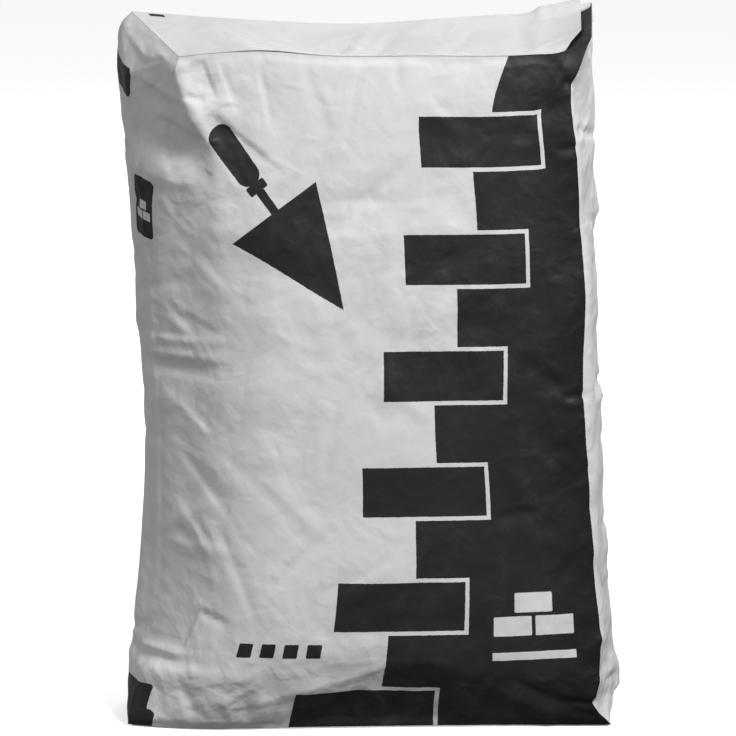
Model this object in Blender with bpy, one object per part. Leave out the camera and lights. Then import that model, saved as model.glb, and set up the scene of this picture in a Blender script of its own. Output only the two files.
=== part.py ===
"""A 25 kg cement bag: a pasted paper valve sack, filled, standing on its block bottom.

Metres, +Z up. The printed front faces -Y, and the valve is in the top corner at +X.
Heights in the station lists are measured from the floor.
"""

import bpy
import numpy as np

# The ends of the sack. Each was pasted from a flat tube, so its corners hold a folded triangle.
REST_HEIGHT = 0.0013  # underside of the sack, above the bottom cover sheet
TRIANGLE_BOTTOM = 0.048  # how far a corner triangle reaches up the left side
TRIANGLE_RIGHT = 0.020  # and up the right side, whose foot has spread
TRIANGLE_TOP = 0.030  # and down either side, at the top end
TOP_MIDDLE = 0.530  # mean height of the top rim
END_SAG = 0.0045  # how far the top end hangs in between its edges

# Where the vertical creases run, as (height, x). The bag has slumped, so they aren't straight.
FRONT_LEFT_X = (
    (0.000, -0.184), (0.030, -0.176), (0.055, -0.168), (0.100, -0.157), (0.170, -0.150),
    (0.250, -0.147), (0.340, -0.149), (0.400, -0.153), (0.463, -0.156), (0.500, -0.154),
    (0.530, -0.150),
)
BACK_LEFT_X = (
    (0.000, -0.180), (0.050, -0.171), (0.150, -0.159), (0.300, -0.161), (0.392, -0.172),
    (0.463, -0.184), (0.505, -0.190), (0.519, -0.189), (0.530, -0.180),
)
LEFT_RIDGE_X = (
    (0.000, -0.189), (0.038, -0.182), (0.077, -0.178), (0.145, -0.173), (0.232, -0.171),
    (0.308, -0.175), (0.392, -0.181), (0.461, -0.185), (0.500, -0.186), (0.530, -0.186),
)
FRONT_RIGHT_X = (
    (0.000, 0.187), (0.035, 0.180), (0.070, 0.174), (0.142, 0.168), (0.194, 0.163),
    (0.246, 0.157), (0.333, 0.156), (0.406, 0.153), (0.450, 0.148), (0.495, 0.1455),
    (0.513, 0.1515), (0.530, 0.159),
)
BACK_RIGHT_X = (
    (0.000, 0.196), (0.020, 0.193), (0.050, 0.183), (0.150, 0.170), (0.300, 0.166),
    (0.450, 0.166), (0.530, 0.176),
)
RIGHT_RIDGE_X = (
    (0.000, 0.203), (0.020, 0.203), (0.038, 0.204), (0.052, 0.199), (0.070, 0.196),
    (0.120, 0.191), (0.206, 0.185), (0.325, 0.179), (0.407, 0.175), (0.498, 0.169),
    (0.530, 0.169),
)

# How far a front crease is pushed in towards the middle, as (height, distance). Above its foot
# the left one has slumped in, and the right one is pinched in a notch.
LEFT_PINCH = (
    (0.038, 0.000), (0.045, 0.002), (0.053, 0.012), (0.061, 0.014), (0.120, 0.014),
    (0.180, 0.007), (0.260, 0.000),
)
RIGHT_PINCH = ((0.000, 0.0000), (0.019, 0.0125), (0.038, 0.0050), (0.070, 0.0000))
PINCH_FADE = 7

# Half thickness at the creases, as (height, distance from the middle plane).
FRONT_HALF_LEFT = (
    (0.000, 0.046), (0.016, 0.053), (0.035, 0.0585), (0.060, 0.0590), (0.200, 0.058),
    (0.400, 0.055), (0.530, 0.050),
)
FRONT_HALF_RIGHT = (
    (0.000, 0.051), (0.016, 0.057), (0.035, 0.0605), (0.060, 0.0605), (0.200, 0.058),
    (0.400, 0.054), (0.500, 0.050), (0.530, 0.046),
)
BACK_HALF = (
    (0.000, 0.048), (0.016, 0.053), (0.040, 0.056), (0.200, 0.056), (0.400, 0.053),
    (0.530, 0.048),
)

# How far the faces bulge past their creases, as (height, bulge).
FRONT_CROWN = (
    (0.000, -0.005), (0.016, -0.005), (0.035, 0.000), (0.060, 0.010), (0.090, 0.012),
    (0.180, 0.011), (0.330, 0.009), (0.450, 0.006), (0.530, 0.002),
)
BACK_CROWN = (
    (0.000, 0.000), (0.025, 0.004), (0.060, 0.006), (0.250, 0.008), (0.430, 0.005),
    (0.530, 0.000),
)

CROWN_FULLNESS = 0.85  # 1 is a parabola across the face, and less is flatter in the middle

# How round a side is, as (height, share): 0 is a sharp ridge, 1 is a half ellipse.
LEFT_ROUNDNESS = (
    (0.000, 0.0), (0.060, 0.1), (0.130, 0.2), (0.220, 0.5), (0.330, 0.7), (0.440, 0.5),
    (0.500, 0.2), (0.530, 0.0),
)
RIGHT_ROUNDNESS = (
    (0.000, 0.0), (0.060, 0.1), (0.150, 0.4), (0.400, 0.4), (0.480, 0.2), (0.530, 0.0),
)

# The top rim's height, as (share of the way from left to right, height).
FRONT_RIM = (
    (0.00, 0.5130), (0.08, 0.5157), (0.20, 0.5174), (0.35, 0.5146), (0.60, 0.5149),
    (0.86, 0.5161), (0.92, 0.5176), (0.96, 0.5222), (1.00, 0.5297),
)
BACK_RIM = (
    (0.00, 0.5405), (0.10, 0.5380), (0.27, 0.5345), (0.49, 0.5325), (0.68, 0.5375),
    (0.80, 0.5405), (0.88, 0.5415), (1.00, 0.5505),
)

# The filling has slumped away from the left of the front, which falls back there as a round
# shoulder. Stations are (height, how far back the crease lies).
SHOULDER = (
    (0.000, 0.020), (0.030, 0.033), (0.050, 0.033), (0.070, 0.031), (0.120, 0.031),
    (0.180, 0.033), (0.250, 0.036), (0.340, 0.036), (0.410, 0.026), (0.450, 0.012),
    (0.490, 0.000), (0.530, 0.000),
)
SHOULDER_REACH = 0.25  # share of the face's width
SHOULDER_POWER = 2.2

# The corner at the top left has fallen in: a flat facet slopes back from a diagonal crease.
CORNER_CREASE_X = (
    (0.423, -0.106), (0.450, -0.118), (0.475, -0.134), (0.502, -0.148), (0.530, -0.153),
)
CORNER_SLOPE = (
    (0.400, 0.00), (0.423, 0.25), (0.450, 0.62), (0.475, 0.95), (0.502, 1.40), (0.530, 1.40),
)

# The cover sheets and the valve sleeve.
COVER_SHEET = 0.0008
SEAT_GAP = 0.0003
COVER_END = 0.975  # share of the way along the end where the top cover sheet stops
SLEEVE_START = 0.870
SLEEVE_MOUTH = 0.982
SLEEVE_WALL = 0.0008
SLEEVE_SLIT = 0.0008
SLEEVE_EDGE = 0.0015
BOTTOM_INSET = 0.985

# How finely the surface is divided.
FACE_COLUMNS = 19  # up to the valve sleeve
SLEEVE_COLUMNS = 3
HALF_SIDE_COLUMNS = 5
MIDDLE_ROWS = 17


def along(stations, at):
    """A smooth curve through (position, value) stations, read at the given positions."""
    position, value = np.array(stations, float).T
    at = np.clip(np.asarray(at, float), position[0], position[-1])
    slope = np.gradient(value, position)
    left = np.clip(np.searchsorted(position, at) - 1, 0, len(position) - 2)
    step = position[left + 1] - position[left]
    t = (at - position[left]) / step
    return (
        value[left] * (1 + 2 * t) * (1 - t) ** 2
        + value[left + 1] * t**2 * (3 - 2 * t)
        + step * slope[left] * t * (1 - t) ** 2
        - step * slope[left + 1] * t**2 * (1 - t)
    )


def face_shares():
    """Column positions along the front and back faces, from left to right."""
    body = np.linspace(0, SLEEVE_START, FACE_COLUMNS + 1)
    sleeve = np.linspace(SLEEVE_START, COVER_END, SLEEVE_COLUMNS + 1)[1:]
    return np.concatenate([body, sleeve, [1.0]])


def row_heights():
    """Row heights: each corner triangle gets as many rows as half a side has columns."""
    low = np.linspace(0, TRIANGLE_BOTTOM, HALF_SIDE_COLUMNS + 1)
    high = np.linspace(TOP_MIDDLE - TRIANGLE_TOP, TOP_MIDDLE, HALF_SIDE_COLUMNS + 1)
    middle = np.linspace(low[-1], high[0], MIDDLE_ROWS + 1)
    return np.concatenate([low, middle[1:-1], high])


def lifted(height, rim):
    """The real height of a point: rows are evened out between the base and the wavy rim."""
    return REST_HEIGHT + height / TOP_MIDDLE * (rim - REST_HEIGHT)


def fallen_back(share, x, height):
    """How far the left of the front lies behind the face: by the shoulder or by the facet."""
    from_end = np.clip(1 - share / SHOULDER_REACH, 0, 1)
    shoulder = along(SHOULDER, height) * from_end**SHOULDER_POWER
    facet = along(CORNER_SLOPE, height) * np.maximum(along(CORNER_CREASE_X, height) - x, 0)
    return np.maximum(shoulder, facet)


def face_row(share, left_x, right_x, left_half, right_half, crown, pinches=(0, 0)):
    """Points of one row of the front or back face, as (x, distance from the middle plane)."""
    x = left_x + (right_x - left_x) * share
    x = x + pinches[0] * (1 - share) ** PINCH_FADE - pinches[1] * share**PINCH_FADE
    half = left_half + (right_half - left_half) * share
    return x, half + crown * (1 - (2 * share - 1) ** 2) ** CROWN_FULLNESS


def side_row(share, height, front, back, ridge_x, roundness, outward, triangle):
    """Points of one row of a side, from its front crease to its back crease."""
    from_middle = np.abs(2 * share - 1)
    sharp, round_ = 1 - from_middle, np.sqrt(1 - from_middle**2)
    profile = sharp + (round_ - sharp) * roundness
    facet = min(height / triangle, (TOP_MIDDLE - height) / TRIANGLE_TOP)
    stand = max((ridge_x - (front[0] + back[0]) / 2) * outward, 0)
    x = front[0] + (back[0] - front[0]) * share
    y = front[1] + (back[1] - front[1]) * share
    return x + outward * stand * np.minimum(profile, facet), y


def ring(height):
    """One row of the wall: points from the front left crease, round the sack and back."""
    faces, half_side = face_shares(), 2 * HALF_SIDE_COLUMNS
    sides = np.linspace(0, 1, half_side + 1)
    x, y = face_row(
        faces,
        along(FRONT_LEFT_X, height), along(FRONT_RIGHT_X, height),
        along(FRONT_HALF_LEFT, height), along(FRONT_HALF_RIGHT, height),
        along(FRONT_CROWN, height),
        (along(LEFT_PINCH, height), along(RIGHT_PINCH, height)),
    )
    y = y - fallen_back(faces, x, height)
    front = np.stack([x, -y, lifted(height, along(FRONT_RIM, faces))], 1)
    x, y = face_row(
        faces,
        along(BACK_LEFT_X, height), along(BACK_RIGHT_X, height),
        along(BACK_HALF, height), along(BACK_HALF, height), along(BACK_CROWN, height),
    )
    back = np.stack([x, y, lifted(height, along(BACK_RIM, faces))], 1)
    walls = []
    for end, ridge, roundness, outward, triangle in (
        (-1, RIGHT_RIDGE_X, RIGHT_ROUNDNESS, 1, TRIANGLE_RIGHT),
        (0, LEFT_RIDGE_X, LEFT_ROUNDNESS, -1, TRIANGLE_BOTTOM),
    ):
        x, y = side_row(
            sides, height, front[end], back[end],
            along(ridge, height), along(roundness, height), outward, triangle,
        )
        z = front[end][2] + (back[end][2] - front[end][2]) * sides
        walls.append(np.stack([x, y, z], 1))
    right, left = walls
    return np.concatenate([front[:-1], right[:-1], back[:0:-1], left[:0:-1]])


def end_grid(rim, sag):
    """A grid of points across an end, [from left to right][from front to back]."""
    columns, rows = len(face_shares()) - 1, 2 * HALF_SIDE_COLUMNS
    front = rim[: columns + 1]
    right = rim[columns : columns + rows + 1]
    back = rim[columns + rows : 2 * columns + rows + 1][::-1]
    left = np.concatenate([rim[2 * columns + rows :], rim[:1]])[::-1]
    along_x = face_shares()[:, None, None]
    along_y = np.linspace(0, 1, rows + 1)[None, :, None]
    grid = (
        (1 - along_y) * front[:, None] + along_y * back[:, None]
        + (1 - along_x) * left[None] + along_x * right[None]
        - (1 - along_x) * (1 - along_y) * front[0] - along_x * (1 - along_y) * front[-1]
        - (1 - along_x) * along_y * back[0] - along_x * along_y * back[-1]
    )
    hang = (4 * along_x * (1 - along_x)) ** 0.5 * (4 * along_y * (1 - along_y))
    grid[:, :, 2] -= sag * hang[:, :, 0]
    return grid


def halves(a, b, c, d, rising=True):
    """A quad as two triangles, cut from a to c where rising, and otherwise from b to d."""
    return [(a, b, c), (a, c, d)] if rising else [(a, b, d), (b, c, d)]


def make_object(name, points, faces, material, parent):
    """A closed mesh as a named object, smooth apart from its folds."""
    mesh = bpy.data.meshes.new(name)
    mesh.from_pydata([tuple(map(float, p)) for p in points], [], faces)
    mesh.validate()
    mesh.shade_smooth()
    mesh.set_sharp_from_angle(angle=0.6)
    mesh.materials.append(material)
    made = bpy.data.objects.new(name, mesh)
    made.parent = parent
    bpy.context.scene.collection.objects.link(made)
    return made


def make_material(name, colour, roughness):
    """Paper: a plain surface with no metal in it."""
    material = bpy.data.materials.new(name)
    material.use_nodes = True
    shader = material.node_tree.nodes["Principled BSDF"]
    shader.inputs["Base Color"].default_value = (*colour, 1.0)
    shader.inputs["Roughness"].default_value = roughness
    shader.inputs["Metallic"].default_value = 0.0
    return material


def sack_mesh(rings, top, bottom):
    """The sack as one closed surface: the wall, the top end and the bottom end.

    On the sides, a quad in a corner triangle is cut along the triangle's fold.
    """
    around = len(rings[0])
    points = [p for row in rings for p in row]
    faces = []
    columns, depth = len(face_shares()) - 1, 2 * HALF_SIDE_COLUMNS
    low_rows, high_rows = HALF_SIDE_COLUMNS, len(rings) - 1 - HALF_SIDE_COLUMNS
    for row in range(len(rings) - 1):
        for i in range(around):
            a, b = row * around + i, row * around + (i + 1) % around
            first_half = i % (columns + depth) < columns + HALF_SIDE_COLUMNS
            in_side = i % (columns + depth) >= columns
            rising = True
            if in_side and row < low_rows:
                rising = first_half
            elif in_side and row >= high_rows:
                rising = not first_half
            faces += halves(a, b, b + around, a + around, rising)
    for grid, row, upward in ((top, len(rings) - 1, True), (bottom, 0, False)):
        index = np.zeros(grid.shape[:2], int)
        base = row * around
        index[:, 0] = base + np.arange(columns + 1)
        index[-1, :] = base + columns + np.arange(depth + 1)
        index[:, -1] = (base + columns + depth + np.arange(columns + 1))[::-1]
        index[0, 1:] = (base + 2 * columns + depth + np.arange(depth))[::-1]
        for i in range(1, columns):
            for j in range(1, depth):
                index[i, j] = len(points)
                points.append(grid[i, j])
        for i in range(columns):
            for j in range(depth):
                quad = (index[i, j], index[i + 1, j], index[i + 1, j + 1], index[i, j + 1])
                quad = [int(q) for q in quad]
                made = halves(*quad)
                faces += made if upward else [f[::-1] for f in made]
    return points, faces


def slab_mesh(lower, thickness):
    """A sheet of even thickness over a grid of points."""
    columns, rows = lower.shape[0], lower.shape[1]
    upper = lower + np.array([0, 0, thickness])
    points = np.concatenate([lower.reshape(-1, 3), upper.reshape(-1, 3)])

    def index(i, j, layer):
        return layer * columns * rows + i * rows + j

    faces = []
    for i in range(columns - 1):
        for j in range(rows - 1):
            for layer in (0, 1):
                corners = ((i, j), (i + 1, j), (i + 1, j + 1), (i, j + 1))
                made = halves(*(index(*c, layer) for c in corners))
                faces += made if layer else [f[::-1] for f in made]
    rim = [(i, 0) for i in range(columns)]
    rim += [(columns - 1, j) for j in range(1, rows)]
    rim += [(i, rows - 1) for i in range(columns - 2, -1, -1)]
    rim += [(0, j) for j in range(rows - 2, 0, -1)]
    for here, there in zip(rim, rim[1:] + rim[:1]):
        faces += halves(index(*here, 0), index(*there, 0), index(*there, 1), index(*here, 1))
    return points, faces


def cover_lift(shares):
    """How far the top cover sheet is held up: it climbs over the valve sleeve."""
    sleeve = 2 * SLEEVE_WALL + SLEEVE_SLIT + SEAT_GAP
    climb = 1 / FACE_COLUMNS
    return SEAT_GAP + sleeve * np.clip((shares - SLEEVE_START + climb) / climb, 0, 1)


def sleeve_mesh(top):
    """The valve sleeve: a paper tube pressed flat, open at its mouth and inside."""
    shares = face_shares()
    first, last = FACE_COLUMNS, FACE_COLUMNS + SLEEVE_COLUMNS
    past = (SLEEVE_MOUTH - COVER_END) / (1 - COVER_END)
    mouth = top[last] + (top[-1] - top[last]) * past
    columns = [*top[first : last + 1], mouth]
    width = slice(1, 2 * HALF_SIDE_COLUMNS)
    points, loops = [], []
    for column in columns:
        seat = column[width] + np.array([0, 0, SEAT_GAP])
        hollow = seat.copy()
        hollow[0, 1] += SLEEVE_EDGE
        hollow[-1, 1] -= SLEEVE_EDGE
        outer = [*seat, *(seat + (0, 0, 2 * SLEEVE_WALL + SLEEVE_SLIT))[::-1]]
        inner = [*(hollow + (0, 0, SLEEVE_WALL)),
                 *(hollow + (0, 0, SLEEVE_WALL + SLEEVE_SLIT))[::-1]]
        for loop in (outer, inner):
            loops.append(range(len(points), len(points) + len(loop)))
            points += loop
    faces, size = [], len(loops[0])
    for here in range(len(columns) - 1):
        for k in range(size):
            n = (k + 1) % size
            for inside in (0, 1):
                a, b = loops[2 * here + inside], loops[2 * here + 2 + inside]
                made = halves(a[k], b[k], b[n], a[n])
                faces += made if inside else [f[::-1] for f in made]
    for outer, inner, outward in ((loops[0], loops[1], False), (loops[-2], loops[-1], True)):
        for k in range(size):
            n = (k + 1) % size
            made = halves(outer[k], outer[n], inner[n], inner[k])
            faces += made if outward else [f[::-1] for f in made]
    return points, faces


def main():
    for old in list(bpy.data.objects):
        bpy.data.objects.remove(old, do_unlink=True)
    printed = make_material("printed_paper", (0.62, 0.62, 0.60), 0.62)
    cover = make_material("cover_paper", (0.74, 0.74, 0.73), 0.60)
    valve = make_material("valve_paper", (0.68, 0.67, 0.64), 0.70)

    rings = [ring(height) for height in row_heights()]
    top = end_grid(rings[-1], END_SAG)
    bottom = end_grid(rings[0], 0.0)
    wall = np.concatenate(rings)
    middle = (wall.min(axis=0) + wall.max(axis=0)) / 2
    root = bpy.data.objects.new("cement_bag", None)
    root.location = (-float(middle[0]), -float(middle[1]), 0)
    bpy.context.scene.collection.objects.link(root)

    make_object("sack_body", *sack_mesh(rings, top, bottom), printed, root)

    covered = FACE_COLUMNS + SLEEVE_COLUMNS + 1
    seat = top[:covered].copy()
    seat[:, :, 2] += cover_lift(face_shares()[:covered])[:, None]
    make_object("top_cover_sheet", *slab_mesh(seat, COVER_SHEET), cover, root)

    centre = bottom.reshape(-1, 3).mean(axis=0)
    base = centre + (bottom - centre) * np.array([BOTTOM_INSET, BOTTOM_INSET, 1])
    base[:, :, 2] = 0
    make_object(
        "bottom_cover_sheet", *slab_mesh(base, REST_HEIGHT - SEAT_GAP), cover, root
    )

    make_object("valve_sleeve", *sleeve_mesh(top), valve, root)


main()
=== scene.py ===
import bpy
import numpy as np
from mathutils import Matrix, Vector


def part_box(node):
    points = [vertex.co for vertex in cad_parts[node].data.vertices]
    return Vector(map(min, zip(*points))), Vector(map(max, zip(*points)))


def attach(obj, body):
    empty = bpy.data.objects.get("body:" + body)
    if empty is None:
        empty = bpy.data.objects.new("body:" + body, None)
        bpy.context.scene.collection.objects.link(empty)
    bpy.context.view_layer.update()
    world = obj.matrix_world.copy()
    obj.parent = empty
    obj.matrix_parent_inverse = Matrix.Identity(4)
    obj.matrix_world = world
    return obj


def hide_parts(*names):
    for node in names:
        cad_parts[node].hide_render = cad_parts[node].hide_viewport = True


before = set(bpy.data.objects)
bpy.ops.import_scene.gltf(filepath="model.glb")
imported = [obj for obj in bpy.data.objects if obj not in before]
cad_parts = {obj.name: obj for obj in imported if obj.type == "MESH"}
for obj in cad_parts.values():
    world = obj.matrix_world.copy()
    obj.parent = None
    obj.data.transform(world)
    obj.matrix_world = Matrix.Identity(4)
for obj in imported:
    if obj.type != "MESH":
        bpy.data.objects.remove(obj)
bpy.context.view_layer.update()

MM = 0.001

# The form of the sack: the same stations as its solid has, read here on a finer grid.
TRIANGLE_BOTTOM = 0.048  # how far a folded corner triangle reaches up the left side
TRIANGLE_RIGHT = 0.020  # and up the right side
TRIANGLE_TOP = 0.030
TOP_MIDDLE = 0.530  # mean height of the top rim
END_SAG = 0.0045

FRONT_LEFT_X = (
    (0.000, -0.184), (0.030, -0.176), (0.055, -0.168), (0.100, -0.157), (0.170, -0.150),
    (0.250, -0.147), (0.340, -0.149), (0.400, -0.153), (0.463, -0.156), (0.500, -0.154),
    (0.530, -0.150),
)
BACK_LEFT_X = (
    (0.000, -0.180), (0.050, -0.171), (0.150, -0.159), (0.300, -0.161), (0.392, -0.172),
    (0.463, -0.184), (0.505, -0.190), (0.519, -0.189), (0.530, -0.180),
)
LEFT_RIDGE_X = (
    (0.000, -0.189), (0.038, -0.182), (0.077, -0.178), (0.145, -0.173), (0.232, -0.171),
    (0.308, -0.175), (0.392, -0.181), (0.461, -0.185), (0.500, -0.186), (0.530, -0.186),
)
FRONT_RIGHT_X = (
    (0.000, 0.187), (0.035, 0.180), (0.070, 0.174), (0.142, 0.168), (0.194, 0.163),
    (0.246, 0.157), (0.333, 0.156), (0.406, 0.153), (0.450, 0.148), (0.495, 0.1455),
    (0.513, 0.1515), (0.530, 0.159),
)
BACK_RIGHT_X = (
    (0.000, 0.196), (0.020, 0.193), (0.050, 0.183), (0.150, 0.170), (0.300, 0.166),
    (0.450, 0.166), (0.530, 0.176),
)
RIGHT_RIDGE_X = (
    (0.000, 0.203), (0.020, 0.203), (0.038, 0.204), (0.052, 0.199), (0.070, 0.196),
    (0.120, 0.191), (0.206, 0.185), (0.325, 0.179), (0.407, 0.175), (0.498, 0.169),
    (0.530, 0.169),
)

# How far a front crease is pushed in towards the middle, as (height, distance). Above its foot
# the left one has slumped in, and the right one is pinched in a notch.
LEFT_PINCH = (
    (0.038, 0.000), (0.045, 0.002), (0.053, 0.012), (0.061, 0.014), (0.120, 0.014),
    (0.180, 0.007), (0.260, 0.000),
)
RIGHT_PINCH = ((0.000, 0.0000), (0.019, 0.0125), (0.038, 0.0050), (0.070, 0.0000))
PINCH_FADE = 7

# Half thickness at the creases, as (height, distance from the middle plane).
FRONT_HALF_LEFT = (
    (0.000, 0.046), (0.016, 0.053), (0.035, 0.0585), (0.060, 0.0590), (0.200, 0.058),
    (0.400, 0.055), (0.530, 0.050),
)
FRONT_HALF_RIGHT = (
    (0.000, 0.051), (0.016, 0.057), (0.035, 0.0605), (0.060, 0.0605), (0.200, 0.058),
    (0.400, 0.054), (0.500, 0.050), (0.530, 0.046),
)
BACK_HALF = (
    (0.000, 0.048), (0.016, 0.053), (0.040, 0.056), (0.200, 0.056), (0.400, 0.053),
    (0.530, 0.048),
)

# How far the faces bulge past their creases, as (height, bulge).
FRONT_CROWN = (
    (0.000, -0.005), (0.016, -0.005), (0.035, 0.000), (0.060, 0.010), (0.090, 0.012),
    (0.180, 0.011), (0.330, 0.009), (0.450, 0.006), (0.530, 0.002),
)
BACK_CROWN = (
    (0.000, 0.000), (0.025, 0.004), (0.060, 0.006), (0.250, 0.008), (0.430, 0.005),
    (0.530, 0.000),
)

CROWN_FULLNESS = 0.85  # 1 is a parabola across the face, and less is flatter in the middle

# How round a side is, as (height, share): 0 is a sharp ridge, 1 is a half ellipse.
LEFT_ROUNDNESS = (
    (0.000, 0.0), (0.060, 0.1), (0.130, 0.2), (0.220, 0.5), (0.330, 0.7), (0.440, 0.5),
    (0.500, 0.2), (0.530, 0.0),
)
RIGHT_ROUNDNESS = (
    (0.000, 0.0), (0.060, 0.1), (0.150, 0.4), (0.400, 0.4), (0.480, 0.2), (0.530, 0.0),
)

# The top rim's height, as (share of the way from left to right, height).
FRONT_RIM = (
    (0.00, 0.5130), (0.08, 0.5157), (0.20, 0.5174), (0.35, 0.5146), (0.60, 0.5149),
    (0.86, 0.5161), (0.92, 0.5176), (0.96, 0.5222), (1.00, 0.5297),
)
BACK_RIM = (
    (0.00, 0.5405), (0.10, 0.5380), (0.27, 0.5345), (0.49, 0.5325), (0.68, 0.5375),
    (0.80, 0.5405), (0.88, 0.5415), (1.00, 0.5505),
)

# The filling has slumped away from the left of the front, which falls back there as a round
# shoulder. Stations are (height, how far back the crease lies).
SHOULDER = (
    (0.000, 0.020), (0.030, 0.033), (0.050, 0.033), (0.070, 0.031), (0.120, 0.031),
    (0.180, 0.033), (0.250, 0.036), (0.340, 0.036), (0.410, 0.026), (0.450, 0.012),
    (0.490, 0.000), (0.530, 0.000),
)
SHOULDER_REACH = 0.25
SHOULDER_POWER = 2.2

# The corner at the top left has fallen in: a flat facet slopes back from a diagonal crease.
CORNER_CREASE_X = (
    (0.423, -0.106), (0.450, -0.118), (0.475, -0.134), (0.502, -0.148), (0.530, -0.153),
)
CORNER_SLOPE = (
    (0.400, 0.00), (0.423, 0.32), (0.445, 0.55), (0.458, 0.90), (0.480, 1.10), (0.502, 1.40),
    (0.530, 1.40),
)

# The foot of the front turns under along a fold, whose height is given as (x, height).
TUCK_LINE = (
    (-0.190, 0.003), (-0.169, 0.008), (-0.141, 0.012), (-0.101, 0.023), (-0.070, 0.034),
    (-0.040, 0.040), (-0.013, 0.049), (0.009, 0.057), (0.036, 0.058), (0.055, 0.054),
    (0.075, 0.045), (0.090, 0.036), (0.118, 0.022), (0.137, 0.014), (0.161, 0.008),
    (0.190, 0.003),
)
TUCK_STAND = 0.0030  # how far the fold stands out
TUCK_IN = 0.001  # how far the bottom edge below it is drawn in
TUCK_FADE = 0.014

# How far the filling rounds the creases, in metres along the paper, as (height, reach).
LEFT_SOFTNESS = (
    (0.000, 0.000), (0.030, 0.002), (0.080, 0.007), (0.200, 0.010), (0.350, 0.009),
    (0.400, 0.004), (0.420, 0.002), (0.450, 0.001), (0.480, 0.000), (0.530, 0.000),
)
LEFT_SPREAD = 0.057  # how far round the sack from the front left crease that holds
OTHER_SOFTNESS = (
    (0.000, 0.000), (0.040, 0.001), (0.100, 0.004), (0.400, 0.004), (0.480, 0.002),
    (0.530, 0.000),
)
ROUNDING_PASSES = 150

# The grid.
COLUMN_BANDS = ((0.0, 0.30, 66), (0.30, 0.90, 67), (0.90, 1.0, 17))  # from, to, columns
ROW_BANDS = ((0.0, 0.048, 32), (0.048, 0.400, 137), (0.400, 0.500, 56), (0.500, 0.530, 20))
SIDE_COLUMNS = 40

# The flat paper that the print is laid out on: u runs round the tube from the front left
# crease, v runs up from the bottom.
FRONT_PAPER = 0.335
SIDE_PAPER = 0.130
END_PAPER = 0.1

# Folds, in millimetres: from, to, height (below 0 for a groove), and the reach to the left and
# to the right of the way that the fold runs. On the front and back they are (x, z), on the
# sides (y, z).
FRONT_FOLDS = (
    ((-157, 516), (-150, 484), 1.5, 7, 16),
    ((-152, 488), (-130, 446), 1.7, 7, 24),
    ((-132, 450), (-112, 412), 1.4, 9, 22),
    ((-141, 512), (-129, 482), -2.4, 3, 14),
    ((-153, 485), (-137, 481), -2.6, 3, 4),
    ((-136, 482), (-116, 480), 0.7, 2, 4),
    ((-146, 480), (-79, 428), -2.0, 4, 22),
    ((-174, 468), (-136, 451), -2.0, 2.5, 8),
    ((-126, 508), (-112, 470), -1.3, 12, 4),
    ((-98, 512), (-88, 462), -1.5, 14, 4),
    ((-70, 512), (-64, 476), 0.8, 10, 12),
    ((-60, 500), (-42, 452), -1.2, 4, 18),
    ((4, 517), (7, 488), -1.3, 7, 5),
    ((-30, 515), (-26, 496), 0.7, 7, 9),
    ((-180, 277), (-148, 278), -1.0, 5, 10),
    ((-150, 278), (-110, 284), -0.9, 5, 12),
    ((-152, 286), (-122, 287), 0.8, 7, 4),
    ((-162, 318), (-142, 302), 1.4, 3, 9),
    ((-152, 320), (-124, 306), -1.4, 3, 10),
    ((-176, 300), (-138, 298), 1.2, 3, 7),
    ((-165, 262), (-128, 226), 1.5, 4, 20),
    ((-152, 216), (-118, 168), -1.6, 20, 4),
    ((-158, 182), (-126, 132), 1.3, 4, 18),
    ((-96, 250), (-60, 214), -0.9, 20, 16),
    ((-40, 104), (16, 138), 1.0, 9, 12),
    ((-139, 94), (-151, 62), -1.7, 2.5, 9),
    ((-140, 95), (-116, 87), -2.2, 3, 8),
    ((-178, 279), (-106, 271), -0.8, 2.5, 6),
    ((-178, 60), (-148, 59), 2.6, 3, 10),
    ((-176, 68), (-146, 66), -1.3, 6, 3),
    ((-154, 42), (-138, 10), -2.2, 9, 8),
    ((134, 518), (120, 480), 1.6, 12, 8),
    ((121, 488), (92, 450), -1.5, 14, 12),
    ((-42, 408), (6, 410), -1.0, 9, 9),
    ((98, 292), (138, 262), -1.6, 10, 16),
    ((120, 262), (150, 252), 1.1, 8, 8),
    ((80, 168), (120, 174), -1.2, 7, 9),
    ((78, 6), (96, 44), -1.4, 12, 9),
    ((96, 44), (166, 8), -2.6, 9, 15),
    ((130, 498), (144, 492), -2.0, 6, 6),
    ((126, 446), (146, 448), -1.6, 6, 8),
    ((132, 258), (156, 260), -2.0, 6, 5),
    ((140, 24), (168, 20), -3.0, 6, 5),
    ((152, 60), (176, 78), 1.4, 8, 8),
)
LEFT_FOLDS = (
    ((-14, 518), (-44, 507), 1.2, 2.5, 2.5),
    ((0, 500), (0, 60), 1.2, 5, 5),
    ((-50, 278), (18, 281), -2.2, 6, 12),
    ((-46, 300), (22, 296), 1.2, 5, 8),
    ((-30, 286), (8, 288), 1.5, 6, 5),
    ((-52, 478), (-8, 496), 1.2, 8, 6),
    ((-44, 440), (-14, 402), -1.2, 9, 9),
    ((6, 470), (42, 420), 1.1, 9, 9),
    ((-38, 350), (20, 330), -1.2, 10, 9),
    ((-50, 180), (0, 150), 1.1, 10, 9),
    ((-48, 60), (10, 59), 2.4, 3, 10),
    ((0, 52), (30, 64), -1.4, 6, 7),
)
RIGHT_FOLDS = (
    ((0, 495), (0, 70), 1.2, 5, 5),
    ((-46, 262), (36, 268), -3.2, 5, 9),
    ((-40, 252), (30, 250), 1.6, 5, 6),
    ((-50, 462), (10, 452), -3.0, 5, 8),
    ((-52, 448), (-10, 470), 1.8, 4, 7),
    ((-36, 392), (34, 386), -1.4, 6, 7),
    ((-44, 118), (30, 104), 1.2, 8, 9),
    ((-50, 36), (0, 30), -2.2, 7, 6),
)
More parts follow.
